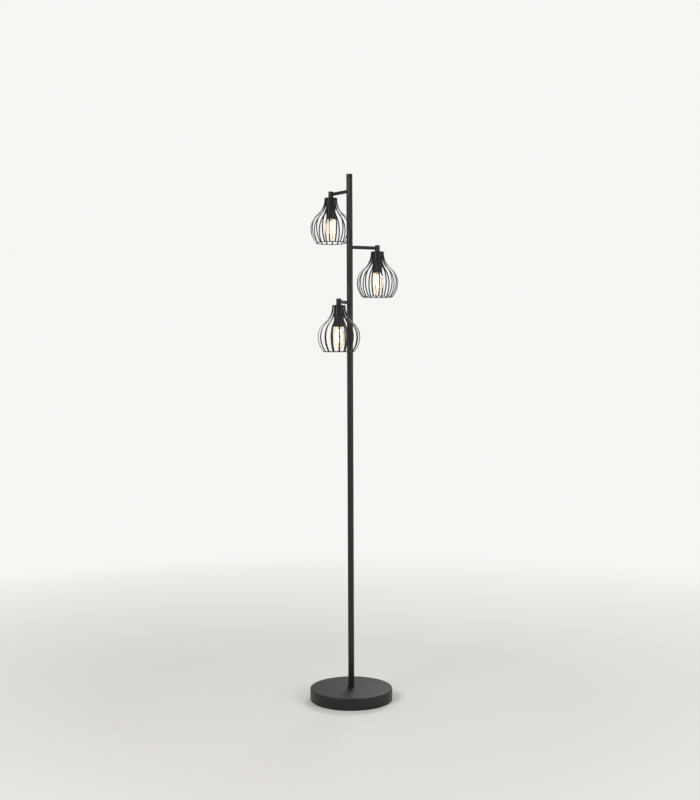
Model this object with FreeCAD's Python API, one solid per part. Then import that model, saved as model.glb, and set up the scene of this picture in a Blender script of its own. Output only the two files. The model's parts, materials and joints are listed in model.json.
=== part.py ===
import FreeCAD
import Part
import math
import os
from FreeCAD import Vector

# A floor lamp with three cage shades on short arms. Millimetres, +Z up, the viewer at -Y.
# The origin is the middle of the base's underside, on the pole's axis.

# The whole lamp
total_height = 1550.0
pole_radius = 9.0
pole_wall = 1.2
arm_section_length = 162.2  # one of the three turning sections at the top of the pole
arm_drop = 49.2  # from a turning section's top down to its arm's axis
arm_length = 88.0  # from the pole's axis to the shade's axis

# The three turning sections from the lowest up: where the arm points, turned from +X towards
# +Y, and how far the cage's front strip is turned from the viewer towards +X, in degrees
heads = [
    ("lower", 249.0, 2.4),
    ("middle", 21.8, 3.5),
    ("upper", 128.9, -3.5),
]

# The base
base_radius = 122.0
base_height = 36.0
cover_wall = 1.2
cover_edge_radius = 3.0
pad_thickness = 2.0
pad_inset = 3.0  # the pad's edge stands this far inside the cover's
weight_clearance = 0.5
recess_radius = 25.0  # room for the nut under the weight
recess_depth = 16.0
collar_radius = 12.0
collar_height = 3.5
collar_bevel = 0.8
washer_radius = 12.0
washer_thickness = 1.5
nut_width = 14.0  # across the flats
nut_height = 5.0
nipple_tail = 3.0  # the thread's end below the nut

# The cable's way out at the back of the base
gland_height = 12.0  # the gland's axis above the floor
gland_bore_radius = 3.5
gland_neck_radius = 4.8
gland_flange_radius = 6.5
gland_flange = 1.5
channel_width = 10.0
channel_clearance = 1.0

# Threaded joints, with the threads as plain cylinders
thread_radius = 5.0
thread_clearance = 0.05
thread_bore_radius = 3.4
hole_clearance = 0.3
press_clearance = 0.02
bush_length = 14.0
plug_length = 12.0
stud_length = 11.0
cap_thickness = 1.5
cap_spigot = 8.0

# The arm and the knuckle that the shade hangs from
arm_radius = 5.0
arm_wall = 1.0
arm_clearance = 0.05
arm_poke = 0.5  # the arm's end stands this far inside the pole's bore
knuckle_radius = 7.4
knuckle_above = 8.5  # from the arm's axis up to the knuckle's top
knuckle_below = 10.5
knuckle_edge = 0.8
knuckle_seat = 3.0  # from the knuckle's axis to the arm's end
nipple_gap = 0.6  # between the arm's underside and the nipple's top
nipple_engagement = 9.0

# The cage
strip_count = 18
strip_width = 4.0
strip_thickness = 1.0
plate_thickness = 1.5
neck_gap = 4.95  # between the holder and the strips' outer face
neck_straight = 3.0
cage_height = 132.7  # from the plate's top to the ring's middle
belly_radius = 61.0
belly_depth = 90.0  # from the plate's top to the widest place
flare_radius = 60.0
ring_radius = 44.3
ring_wire_radius = 1.15
weld_bite = 0.35

# The lamp holder
holder_radius = 14.25
holder_wall = 1.6
holder_edge = 2.0
holder_cap_height = 26.0
holder_roof = 3.0
holder_neck_wall = 3.0
holder_neck_length = 7.0
sleeve_length = 34.0
sleeve_floor = 3.0
inner_tube_wall = 1.6
inner_tube_length = 19.0
shell_thickness = 1.0
contact_radius = 2.5
contact_head_radius = 4.0
contact_head = 1.2

# The bulb, a candle shape with a small screw cap
screw_crest_radius = 6.94
screw_root_radius = 6.15
screw_pitch = 2.82
screw_turns = 6
shell_turns = 4
screw_clearance = 0.1
contact_gap = 0.3
tip_radius = 2.4
tip_height = 1.3
shoulder_height = 2.4
cap_rim_radius = 8.6
cap_rim_height = 6.0
cap_rim_lip = 2.2
cap_rim_wall = 0.35
bulb_length = 97.7
bulb_radius = 17.5
bulb_waist = 29.0  # from the cap's rim to the widest place
bulb_flare_radius = 20.0
bulb_tip_radius = 4.0
glass_thickness = 0.8
glass_clearance = 0.05

# What glows inside the bulb
stem_radius = 2.2
stem_length = 11.0
rod_count = 4
rod_radius = 0.8
rod_length = 36.0
rod_top_circle = 5.2
rod_bottom_circle = 2.6
wire_radius = 0.3
wire_drop = 3.0
hub_radius = 3.0
hub_thickness = 0.8

# Worked-out heights and radii
collar_top = base_height + collar_height
turning_bottom = total_height - len(heads) * arm_section_length
plain_length = (turning_bottom - collar_top) / 2
pole_joint = collar_top + plain_length
pole_bore = pole_radius - pole_wall
neck_radius = holder_radius + neck_gap
plate_top = -knuckle_below
plate_bottom = plate_top - plate_thickness
holder_joint = plate_bottom - holder_cap_height
mouth = holder_joint - sleeve_length
floor_bottom = holder_joint - sleeve_floor
bulb_top = floor_bottom - contact_gap
screw_top = bulb_top - tip_height - shoulder_height
screw_middle_radius = (screw_crest_radius + screw_root_radius) / 2
screw_bottom = screw_top - screw_turns * screw_pitch
rim_bottom = screw_bottom - cap_rim_height
rim_floor = rim_bottom + cap_rim_lip
shell_outer_radius = screw_crest_radius + screw_clearance + shell_thickness

up = Vector(0, 0, 1)
centre = Vector(0, 0, 0)
parts = {}


def polar(radius, angle):
    # the radial and vertical shares of a length that is turned down from the radial direction
    return radius * math.cos(angle), radius * math.sin(angle)


def face_of(start, *legs):
    # a flat face in the XZ plane: a leg is a corner, or the middle and the end of an arc
    edges = []
    here = Vector(start[0], 0, start[1])
    for leg in legs + (start,):
        if isinstance(leg[0], tuple):
            middle = Vector(leg[0][0], 0, leg[0][1])
            end = Vector(leg[1][0], 0, leg[1][1])
            edges.append(Part.Arc(here, middle, end).toShape())
        else:
            end = Vector(leg[0], 0, leg[1])
            edges.append(Part.LineSegment(here, end).toShape())
        here = end
    return Part.Face(Part.Wire(edges))


def turned(start, *legs):
    return face_of(start, *legs).revolve(centre, up, 360)


def rod(radius, bottom, top):
    return Part.makeCylinder(radius, top - bottom, Vector(0, 0, bottom))


def tube(outer, inner, bottom, top):
    return rod(outer, bottom, top).cut(rod(inner, bottom, top))


def rod_between(radius, start, end):
    return Part.makeCylinder(radius, (end - start).Length, start, end - start)


def level_rod(radius, start, end):
    # a round bar along X
    return Part.makeCylinder(radius, end - start, Vector(start, 0, 0), Vector(1, 0, 0))


def ring_copies(shape, count, first=0.0):
    copies = []
    for index in range(count):
        copy = shape.copy()
        copy.rotate(centre, up, first + index * 360 / count)
        copies.append(copy)
    return copies


def corner_arc(middle, radius, angle_in, angle_out):
    # an arc about a middle, as its halfway point and its end, in radians from +X towards +Z
    halfway = (angle_in + angle_out) / 2
    return (
        (middle[0] + radius * math.cos(halfway), middle[1] + radius * math.sin(halfway)),
        (middle[0] + radius * math.cos(angle_out), middle[1] + radius * math.sin(angle_out)),
    )


# The stand


def base_pad():
    return rod(base_radius - pad_inset, 0, pad_thickness)


def base_weight():
    top = base_height - cover_wall
    radius = base_radius - cover_wall - weight_clearance
    body = turned(
        (0, pad_thickness),
        (radius, pad_thickness),
        (radius, top - cover_edge_radius),
        (radius - cover_edge_radius, top),
        (0, top),
    )
    hole = rod(thread_radius + hole_clearance, pad_thickness, top)
    recess = rod(recess_radius, pad_thickness, pad_thickness + recess_depth)
    channel_top = gland_height + gland_flange_radius + channel_clearance
    channel = Part.makeBox(
        channel_width,
        base_radius,
        channel_top - pad_thickness,
        Vector(-channel_width / 2, 0, pad_thickness),
    )
    pocket_radius = gland_flange_radius + channel_clearance
    pocket_depth = cover_wall + gland_flange + channel_clearance
    pocket = Part.makeCylinder(
        pocket_radius,
        pocket_depth + weight_clearance,
        Vector(0, base_radius - pocket_depth - weight_clearance, gland_height),
        Vector(0, 1, 0),
    )
    return body.cut([hole, recess, channel, pocket])


def base_cover():
    edge = cover_edge_radius
    middle = (base_radius - edge, base_height - edge)
    inside = base_radius - cover_wall
    underside = base_height - cover_wall
    hole = thread_radius + hole_clearance
    shell = turned(
        (hole, base_height),
        (base_radius - edge, base_height),
        corner_arc(middle, edge, math.pi / 2, 0),
        (base_radius, pad_thickness),
        (inside, pad_thickness),
        (inside, base_height - edge),
        corner_arc(middle, edge - cover_wall, 0, math.pi / 2),
        (hole, underside),
    )
    start = Vector(0, base_radius - edge, gland_height)
    gland_hole = Part.makeCylinder(gland_neck_radius, 2 * edge, start, Vector(0, 1, 0))
    return shell.cut(gland_hole)


def gland_faces():
    # where the gland's two flanges meet the round wall, measured from the base's axis
    inside = base_radius - cover_wall
    inner = math.sqrt(inside**2 - gland_flange_radius**2)
    return inner, base_radius


def cable_gland():
    inner, outer = gland_faces()
    gland = turned(
        (gland_bore_radius, inner - gland_flange),
        (gland_flange_radius, inner - gland_flange),
        (gland_flange_radius, inner),
        (gland_neck_radius, inner),
        (gland_neck_radius, outer),
        (gland_flange_radius, outer),
        (gland_flange_radius, outer + gland_flange / 2),
        (gland_flange_radius - gland_flange / 2, outer + gland_flange),
        (gland_bore_radius, outer + gland_flange),
    )
    gland.rotate(centre, Vector(1, 0, 0), -90)
    gland.translate(Vector(0, 0, gland_height))
    return gland


def base_washer():
    top = pad_thickness + recess_depth
    return tube(washer_radius, thread_radius + hole_clearance, top - washer_thickness, top)


def base_nut():
    top = pad_thickness + recess_depth - washer_thickness
    corner_radius = nut_width / 2 / math.cos(math.radians(30))
    corners = [
        Vector(*polar(corner_radius, math.radians(60 * side)), top - nut_height)
        for side in range(7)
    ]
    body = Part.Face(Part.makePolygon(corners)).extrude(Vector(0, 0, nut_height))
    return body.cut(rod(thread_radius + thread_clearance, top - nut_height, top))


def base_nipple():
    nut_bottom = pad_thickness + recess_depth - washer_thickness - nut_height
    return tube(thread_radius, thread_bore_radius, nut_bottom - nipple_tail, collar_top + stud_length)


def foot_collar():
    hole = thread_radius + hole_clearance
    return turned(
        (hole, base_height),
        (collar_radius, base_height),
        (collar_radius, collar_top - collar_bevel),
        (collar_radius - collar_bevel, collar_top),
        (hole, collar_top),
    )


def bush(bottom):
    # a threaded lining pressed into a tube's end
    return tube(
        pole_bore - press_clearance,
        thread_radius + thread_clearance,
        bottom,
        bottom + bush_length,
    )


def stud(joint):
    # a plug in a tube's lower end, with the thread that reaches down into the next tube's bush
    plug = rod(pole_bore - press_clearance, joint, joint + plug_length)
    thread = rod(thread_radius, joint - stud_length, joint)
    return plug.fuse(thread).cut(rod(thread_bore_radius, joint - stud_length, joint + plug_length))


def make_stand():
    parts["base_pad"] = base_pad()
    parts["base_weight"] = base_weight()
    parts["base_cover"] = base_cover()
    parts["cable_gland"] = cable_gland()
    parts["base_washer"] = base_washer()
    parts["base_nut"] = base_nut()
    parts["base_nipple"] = base_nipple()
    parts["foot_collar"] = foot_collar()
    parts["lower_pole"] = tube(pole_radius, pole_bore, collar_top, pole_joint)
    parts["upper_pole"] = tube(pole_radius, pole_bore, pole_joint, turning_bottom)
    parts["pole_bushes"] = Part.makeCompound([
        bush(collar_top),
        bush(pole_joint - bush_length),
        bush(turning_bottom - bush_length),
    ])
    parts["pole_stud"] = stud(pole_joint)


# A turning section with its arm, drawn with the arm along +X and its axis at height 0


def section(top, bottom):
    body = tube(pole_radius, pole_bore, bottom, top)
    return body.cut(level_rod(arm_radius + arm_clearance, 0, 2 * pole_radius))


def arm():
    start = pole_bore - arm_poke
    end = arm_length - knuckle_seat
    return level_rod(arm_radius, start, end).cut(level_rod(arm_radius - arm_wall, start, end))


def top_cap(top):
    disc = rod(pole_radius, top - cap_thickness, top)
    spigot = rod(pole_bore - press_clearance, top - cap_thickness - cap_spigot, top - cap_thickness)
    return disc.fuse(spigot)


# The shade and its bulb, drawn about their own upright axis with the arm's axis at height 0


def knuckle():
    edge = knuckle_edge
    body = turned(
        (0, plate_top),
        (knuckle_radius, plate_top),
        (knuckle_radius, knuckle_above - edge),
        corner_arc((knuckle_radius - edge, knuckle_above - edge), edge, 0, math.pi / 2),
        (0, knuckle_above),
    )
    seat = level_rod(arm_radius + arm_clearance, -2 * knuckle_radius, -knuckle_seat)
    passage = level_rod(thread_bore_radius, -knuckle_seat, 0)
    drop = rod(thread_bore_radius, plate_top, 0)
    thread = rod(thread_radius + thread_clearance, plate_top, -arm_radius - nipple_gap)
    return body.cut([seat, passage, drop, thread])


def shade_nipple():
    return tube(
        thread_radius,
        thread_bore_radius,
        plate_bottom - nipple_engagement,
        -arm_radius - nipple_gap,
    )


def cage_plate(turn):
    # a flat side for each strip to lie against
    flat = neck_radius - strip_thickness
    half_step = math.pi / strip_count
    corner_radius = flat / math.cos(half_step)
    corners = [
        Vector(*polar(corner_radius, (2 * side + 1) * half_step), plate_bottom)
        for side in range(strip_count + 1)
    ]
    plate = Part.Face(Part.makePolygon(corners)).extrude(Vector(0, 0, plate_thickness))
    plate = plate.cut(rod(thread_radius + hole_clearance, plate_bottom, plate_top))
    plate.rotate(centre, up, turn)
    return plate


def cage_strips(turn):
    # straight at the neck, then a hollow curve, the upper belly and the lower belly, all tangent
    start = plate_top - neck_straight
    belly = plate_top - belly_depth
    outward = belly_radius - neck_radius
    flare_angle = 2 * math.atan(outward / (start - belly))
    upper_radius = (start - belly) / math.sin(flare_angle) - flare_radius
    # the lower belly is worked out on the middle of the strip, which aims at the ring's middle
    inward = belly_radius - strip_thickness / 2 - ring_radius
    down = cage_height - belly_depth
    middle_radius = (inward**2 + down**2) / (2 * inward)
    lower_radius = middle_radius + strip_thickness / 2
    lower_angle = math.asin(down / middle_radius) - (ring_wire_radius - weld_bite) / middle_radius
    hollow = (neck_radius + flare_radius, start)
    upper = (belly_radius - upper_radius, belly)
    lower = (belly_radius - lower_radius, belly)
    turn_in = math.pi + flare_angle

    def side(inset):
        # the strip's outer face, or its inner face with an inset
        return [
            corner_arc(hollow, flare_radius + inset, math.pi, turn_in),
            corner_arc(upper, upper_radius - inset, flare_angle, 0),
            corner_arc(lower, lower_radius - inset, 0, -lower_angle),
        ]

    inner = neck_radius - strip_thickness
    outer_side = side(0)
    inner_side = side(strip_thickness)
    inner_end = inner_side[2][1]
    back = [
        (inner_side[2][0], (belly_radius - strip_thickness, belly)),
        (inner_side[1][0], inner_side[0][1]),
        (inner_side[0][0], (inner, start)),
    ]
    profile = face_of(
        (neck_radius, plate_top),
        (neck_radius, start),
        *outer_side,
        inner_end,
        *back,
        (inner, plate_top),
    )
    profile.translate(Vector(0, -strip_width / 2, 0))
    strip = profile.extrude(Vector(0, strip_width, 0))
    return Part.makeCompound(ring_copies(strip, strip_count, turn))


def cage_ring():
    wire = Part.makeTorus(ring_radius, ring_wire_radius)
    wire.translate(Vector(0, 0, plate_top - cage_height))
    return wire


def holder_cap():
    edge = holder_edge
    inside = holder_radius - holder_wall
    neck = thread_radius + thread_clearance
    return turned(
        (neck, plate_bottom),
        (holder_radius - edge, plate_bottom),
        corner_arc((holder_radius - edge, plate_bottom - edge), edge, math.pi / 2, 0),
        (holder_radius, holder_joint),
        (inside, holder_joint),
        (inside, plate_bottom - holder_roof),
        (neck + holder_neck_wall, plate_bottom - holder_roof),
        (neck + holder_neck_wall, plate_bottom - holder_roof - holder_neck_length),
        (neck, plate_bottom - holder_roof - holder_neck_length),
    )


def holder_sleeve():
    inside = holder_radius - holder_wall
    tube_bore = shell_outer_radius + press_clearance
    tube_end = floor_bottom - inner_tube_length
    contact_hole = contact_radius + press_clearance
    return turned(
        (contact_hole, holder_joint),
        (holder_radius, holder_joint),
        (holder_radius, mouth),
        (inside, mouth),
        (inside, floor_bottom),
        (tube_bore + inner_tube_wall, floor_bottom),
        (tube_bore + inner_tube_wall, tube_end),
        (tube_bore, tube_end),
        (tube_bore, floor_bottom),
        (contact_hole, floor_bottom),
    )


def screw_waves(count, clearance):
    # round ridges one pitch apart, from the top of the thread down
    legs = []
    middle = screw_middle_radius + clearance
    for index in range(count):
        top = screw_top - index * screw_pitch
        legs.append((
            (screw_crest_radius + clearance, top - screw_pitch / 4),
            (middle, top - screw_pitch / 2),
        ))
        legs.append((
            (screw_root_radius + clearance, top - screw_pitch * 3 / 4),
            (middle, top - screw_pitch),
        ))
    return legs


def thread_shell():
    bore = screw_middle_radius + screw_clearance
    waves_end = screw_top - shell_turns * screw_pitch
    entry = screw_crest_radius + screw_clearance
    shell_end = floor_bottom - inner_tube_length
    return turned(
        (bore, floor_bottom),
        (bore, screw_top),
        *screw_waves(shell_turns, screw_clearance),
        (entry, waves_end),
        (entry, shell_end),
        (shell_outer_radius, shell_end),
        (shell_outer_radius, floor_bottom),
    )


def contact():
    return turned(
        (0, floor_bottom),
        (contact_radius, floor_bottom),
        (contact_radius, holder_joint),
        (contact_head_radius, holder_joint),
        (contact_head_radius, holder_joint + contact_head),
        (0, holder_joint + contact_head),
    )


def bulb_cap():
    lip_inside = cap_rim_radius - cap_rim_wall
    return turned(
        (0, bulb_top),
        (tip_radius, bulb_top),
        (tip_radius, bulb_top - tip_height),
        (screw_middle_radius, screw_top),
        *screw_waves(screw_turns, 0),
        (cap_rim_radius, rim_floor),
        (cap_rim_radius, rim_bottom),
        (lip_inside, rim_bottom),
        (lip_inside, rim_floor),
        (0, rim_floor),
    )


def bulb_glass():
    # a short neck in the cap's rim, a flare, the shoulder, a long taper and a round tip
    neck = cap_rim_radius - cap_rim_wall - glass_clearance
    widest = rim_bottom - bulb_waist
    tip = bulb_top - bulb_length
    flare_angle = 2 * math.atan((bulb_radius - neck) / bulb_waist)
    shoulder_radius = bulb_waist / math.sin(flare_angle) - bulb_flare_radius
    reach = widest - tip - bulb_tip_radius
    taper_radius = (bulb_radius**2 + reach**2 - bulb_tip_radius**2) / (
        2 * (bulb_radius - bulb_tip_radius)
    )
    taper_angle = math.asin(reach / (taper_radius - bulb_tip_radius))
    flare = (neck + bulb_flare_radius, rim_bottom)
    shoulder = (bulb_radius - shoulder_radius, widest)
    taper = (bulb_radius - taper_radius, widest)
    round_tip = (0, tip + bulb_tip_radius)
    inset = glass_thickness
    outer = [
        corner_arc(flare, bulb_flare_radius, math.pi, math.pi + flare_angle),
        corner_arc(shoulder, shoulder_radius, flare_angle, 0),
        corner_arc(taper, taper_radius, 0, -taper_angle),
        corner_arc(round_tip, bulb_tip_radius, -taper_angle, -math.pi / 2),
    ]
    inner = [
        corner_arc(round_tip, bulb_tip_radius - inset, -math.pi / 2, -taper_angle),
        corner_arc(taper, taper_radius - inset, -taper_angle, 0),
        corner_arc(shoulder, shoulder_radius - inset, 0, flare_angle),
        corner_arc(flare, bulb_flare_radius + inset, math.pi + flare_angle, math.pi),
    ]
    return turned(
        (neck, rim_floor),
        (neck, rim_bottom),
        *outer,
        (0, tip + inset),
        *inner,
        (neck - inset, rim_floor),
    )


def filament():
    # a glass stem, glowing rods that draw in towards the tip, and the wires that hold them
    stem_end = rim_floor - stem_length
    rods_top = stem_end - wire_drop
    rods_bottom = rods_top - rod_length
    stem = Part.makeCone(stem_radius, stem_radius / 2, stem_length, Vector(0, 0, rim_floor), -up)
    top = Vector(rod_top_circle, 0, rods_top)
    bottom = Vector(rod_bottom_circle, 0, rods_bottom)
    glowing = rod_between(rod_radius, top, bottom)
    holding = rod_between(wire_radius, Vector(stem_radius / 4, 0, stem_end), top)
    spine = rod(wire_radius, rods_bottom, stem_end)
    hub = rod(hub_radius, rods_bottom - hub_thickness, rods_bottom)
    solids = [stem, spine.fuse(hub).removeSplitter()]
    solids += ring_copies(glowing, rod_count)
    return Part.makeCompound(solids + ring_copies(holding.cut(glowing).cut(stem), rod_count))


def place(shape, outward, azimuth, height):
    # carries a piece out along its arm's direction and up to the arm's height
    direction = math.radians(azimuth)
    shape.translate(Vector(outward * math.cos(direction), outward * math.sin(direction), height))
    return shape


def turned_to(shape, azimuth):
    shape.rotate(centre, up, azimuth)
    return shape


def make_head(index, name, azimuth, strip_turn):
    bottom = turning_bottom + index * arm_section_length
    top = bottom + arm_section_length
    axis_height = top - arm_drop
    is_last = index == len(heads) - 1
    tube_top = top - cap_thickness if is_last else top
    front = -90 + strip_turn
    on_pole = {
        "section": section(tube_top - axis_height, bottom - axis_height),
        "arm": arm(),
    }
    for piece, shape in on_pole.items():
        parts[name + "_" + piece] = place(turned_to(shape, azimuth), 0, azimuth, axis_height)
    parts[name + "_stud"] = stud(bottom)
    if is_last:
        parts["top_cap"] = top_cap(top)
    else:
        parts[name + "_bush"] = bush(top - bush_length)
    on_shade = {
        "knuckle": turned_to(knuckle(), azimuth),
        "shade_nipple": shade_nipple(),
        "cage_plate": cage_plate(front),
        "cage_strips": cage_strips(front),
        "cage_ring": cage_ring(),
        "holder_cap": holder_cap(),
        "holder_sleeve": holder_sleeve(),
        "thread_shell": thread_shell(),
        "contact": contact(),
        "bulb_cap": bulb_cap(),
        "bulb_glass": bulb_glass(),
        "filament": filament(),
    }
    for piece, shape in on_shade.items():
        parts[name + "_" + piece] = place(shape, arm_length, azimuth, axis_height)


make_stand()
for index, (name, azimuth, strip_turn) in enumerate(heads):
    make_head(index, name, azimuth, strip_turn)

os.makedirs("parts", exist_ok=True)
for node, shape in parts.items():
    shape.exportStep("parts/" + node + ".step")
    print(node, len(shape.Solids), shape.isValid(), round(shape.Volume, 1))
print(len(parts), "nodes")
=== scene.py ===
import json
import math
import bmesh
import bpy
from mathutils import Matrix, Vector


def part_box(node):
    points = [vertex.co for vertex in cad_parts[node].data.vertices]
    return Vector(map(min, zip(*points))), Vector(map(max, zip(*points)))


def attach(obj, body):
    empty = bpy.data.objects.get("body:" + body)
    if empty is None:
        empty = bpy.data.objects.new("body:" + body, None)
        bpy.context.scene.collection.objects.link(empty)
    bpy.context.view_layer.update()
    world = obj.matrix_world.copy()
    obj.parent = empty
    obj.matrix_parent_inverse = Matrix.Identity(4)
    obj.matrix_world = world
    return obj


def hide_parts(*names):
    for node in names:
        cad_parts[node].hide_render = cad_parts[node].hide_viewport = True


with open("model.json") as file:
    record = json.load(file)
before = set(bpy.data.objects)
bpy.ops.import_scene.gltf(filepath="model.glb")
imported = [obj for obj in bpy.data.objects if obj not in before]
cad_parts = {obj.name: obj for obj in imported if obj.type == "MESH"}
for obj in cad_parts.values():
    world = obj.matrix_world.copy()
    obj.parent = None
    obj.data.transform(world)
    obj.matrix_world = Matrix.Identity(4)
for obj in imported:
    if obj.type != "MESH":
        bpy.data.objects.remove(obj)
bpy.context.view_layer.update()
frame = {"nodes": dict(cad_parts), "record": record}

# A floor lamp with three cage shades on turning arms. Metres, the viewer at -Y.
mm = 0.001


# small helpers for node trees

whole = (0.0, 1.0)       # the full span of a mask
noiseCore = (0.3, 0.7)   # where most values of a noise lie
noiseWide = (0.2, 0.8)   # where nearly all of them lie


def place(tree, kind, **settings):
    node = tree.nodes.new(kind)
    for key, value in settings.items():
        setattr(node, key, value)
    return node


def feed(tree, target, source):
    # a source is another node's socket, or a plain value for the input
    if isinstance(source, bpy.types.NodeSocket):
        tree.links.new(source, target)
    else:
        target.default_value = source


def feedAll(tree, sockets, sources):
    for socket, source in zip(sockets, sources):
        feed(tree, socket, source)


def label(key):
    # the input that a key stands for: grainScale is the one labelled Grain Scale
    return "".join(" " + letter if letter.isupper() else letter for letter in key).title()


def mathNode(tree, operation, *values):
    node = place(tree, "ShaderNodeMath", operation=operation)
    feedAll(tree, node.inputs, values)
    return node.outputs[0]


def spread(tree, value, given, wanted):
    # maps one span of values onto another
    node = place(tree, "ShaderNodeMapRange")
    feedAll(tree, node.inputs, (value, *given, *wanted))
    return node.outputs[0]


def mixColours(tree, share, first, second):
    node = place(tree, "ShaderNodeMix", data_type="RGBA")
    factor, colourA, colourB = node.inputs[0], node.inputs[6], node.inputs[7]
    feedAll(tree, (factor, colourA, colourB), (share, first, second))
    return node.outputs[2]


def mixShaders(tree, share, first, second):
    node = place(tree, "ShaderNodeMixShader")
    feedAll(tree, node.inputs, (share, first, second))
    return node.outputs[0]


def noiseOn(tree, vector, scale, detail, roughness=0.55):
    node = place(tree, "ShaderNodeTexNoise")
    feed(tree, node.inputs["Vector"], vector)
    feed(tree, node.inputs["Scale"], scale)
    feed(tree, node.inputs["Detail"], detail)
    feed(tree, node.inputs["Roughness"], roughness)
    return node.outputs["Fac"]


# surface effects that several finishes share

def shaderGroup(name, inputs, outputs):
    tree = bpy.data.node_groups.new(name, "ShaderNodeTree")
    for key, value in inputs.items():
        socket = tree.interface.new_socket(name=label(key), in_out="INPUT", socket_type="NodeSocketFloat")
        socket.default_value = value
    for key in outputs:
        tree.interface.new_socket(name=label(key), in_out="OUTPUT", socket_type="NodeSocketFloat")
    return tree, place(tree, "NodeGroupInput"), place(tree, "NodeGroupOutput")


def grainGroup():
    # fine skin of a coating or moulding: a bump height and a slow, cloudy variation
    tree, start, end = shaderGroup("fineSkin", {"grainScale": 900.0, "cloudScale": 14.0}, ("height", "cloud"))
    spot = place(tree, "ShaderNodeTexCoord").outputs["Object"]
    fine = noiseOn(tree, spot, start.outputs["Grain Scale"], detail=3.0)
    broad = noiseOn(tree, spot, start.outputs["Cloud Scale"], detail=5.0, roughness=0.6)
    feed(tree, end.inputs["Height"], fine)
    feed(tree, end.inputs["Cloud"], spread(tree, broad, noiseCore, whole))
    return tree


def dustGroup():
    # a thin film of dust where a face looks up, broken up by noise
    tree, start, end = shaderGroup("topDust", {"amount": 0.3, "patchScale": 40.0}, ("dust",))
    nearlyLevel, patchNoise, patchCover = (0.75, 1.0), (0.35, 0.75), (0.2, 1.0)
    spot = place(tree, "ShaderNodeTexCoord").outputs["Object"]
    split = place(tree, "ShaderNodeSeparateXYZ")
    feed(tree, split.inputs[0], place(tree, "ShaderNodeNewGeometry").outputs["Normal"])
    facing = spread(tree, split.outputs["Z"], nearlyLevel, whole)
    noise = noiseOn(tree, spot, start.outputs["Patch Scale"], detail=6.0, roughness=0.65)
    film = mathNode(tree, "MULTIPLY", facing, spread(tree, noise, patchNoise, patchCover))
    feed(tree, end.inputs["Dust"], mathNode(tree, "MULTIPLY", film, start.outputs["Amount"]))
    return tree


def brushGroup():
    # fine lines drawn along one direction, as on turned or drawn metal
    tree, start, end = shaderGroup("drawnLines", {"across": 2400.0, "along": 60.0}, ("lines",))
    split = place(tree, "ShaderNodeSeparateXYZ")
    feed(tree, split.inputs[0], place(tree, "ShaderNodeTexCoord").outputs["Object"])
    joined = place(tree, "ShaderNodeCombineXYZ")
    for axis, rate in (("X", "Along"), ("Y", "Along"), ("Z", "Across")):
        feed(tree, joined.inputs[axis], mathNode(tree, "MULTIPLY", split.outputs[axis], start.outputs[rate]))
    feed(tree, end.inputs["Lines"], noiseOn(tree, joined.outputs[0], 1.0, detail=2.0))
    return tree


effects = {"skin": grainGroup(), "dust": dustGroup(), "lines": brushGroup()}


def effect(tree, name, **values):
    node = place(tree, "ShaderNodeGroup", node_tree=effects[name])
    for key, value in values.items():
        node.inputs[label(key)].default_value = value
    return node.outputs


def newMaterial(name):
    material = bpy.data.materials.new(name)
    material.use_nodes = True
    tree = material.node_tree
    return material, tree, tree.nodes["Principled BSDF"]


def bump(tree, shader, height, strength, distance):
    node = place(tree, "ShaderNodeBump")
    node.inputs["Strength"].default_value = strength
    node.inputs["Distance"].default_value = distance
    feed(tree, node.inputs["Height"], height)
    feed(tree, shader.inputs["Normal"], node.outputs["Normal"])


def grey(value, warm=0.0):
    return (value * (1 + warm), value, value * (1 - warm), 1.0)


# finishes; a bump is given as its strength and its depth

paintLook = {
    "colour": grey(0.0075, 0.06), "cloud": grey(0.0115, 0.08), "dust": grey(0.20, 0.06),
    "roughness": (0.40, 0.52), "dustRoughness": 0.5, "sheen": 0.38,
    "cloudScale": 16.0, "patchScale": 55.0, "bump": (0.55, 0.12 * mm),
}


def powderCoat(name, dustAmount, grainScale):
    look = paintLook
    material, tree, shader = newMaterial(name)
    skin = effect(tree, "skin", grainScale=grainScale, cloudScale=look["cloudScale"])
    dust = effect(tree, "dust", amount=dustAmount, patchScale=look["patchScale"])["Dust"]
    base = mixColours(tree, skin["Cloud"], look["colour"], look["cloud"])
    feed(tree, shader.inputs["Base Color"], mixColours(tree, dust, base, look["dust"]))
    satin = spread(tree, skin["Cloud"], whole, look["roughness"])
    dulled = mathNode(tree, "MULTIPLY", dust, look["dustRoughness"])
    feed(tree, shader.inputs["Roughness"], mathNode(tree, "ADD", satin, dulled))
    shader.inputs["Specular IOR Level"].default_value = look["sheen"]
    bump(tree, shader, skin["Height"], *look["bump"])
    return material


metalLook = {
    "along": 80.0, "grainScale": 500.0, "cloudScale": 60.0,
    "smoother": 0.08, "rougher": 0.10, "bump": (0.25, 0.03 * mm),
}


def drawnMetal(name, colour, tint, roughness, across):
    look = metalLook
    material, tree, shader = newMaterial(name)
    lines = effect(tree, "lines", across=across, along=look["along"])["Lines"]
    cloud = effect(tree, "skin", grainScale=look["grainScale"], cloudScale=look["cloudScale"])["Cloud"]
    feed(tree, shader.inputs["Base Color"], mixColours(tree, cloud, colour, tint))
    drawn = (roughness - look["smoother"], roughness + look["rougher"])
    feed(tree, shader.inputs["Roughness"], spread(tree, lines, noiseCore, drawn))
    shader.inputs["Metallic"].default_value = 1.0
    bump(tree, shader, lines, *look["bump"])
    return material


plasticLook = {
    "colour": grey(0.008), "cloud": grey(0.012, 0.04), "dust": grey(0.28, 0.05), "roughness": (0.42, 0.56),
    "grainScale": 1500.0, "cloudScale": 30.0, "dustAmount": 0.05, "patchScale": 80.0,
    "bump": (0.4, 0.05 * mm),
}


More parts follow.
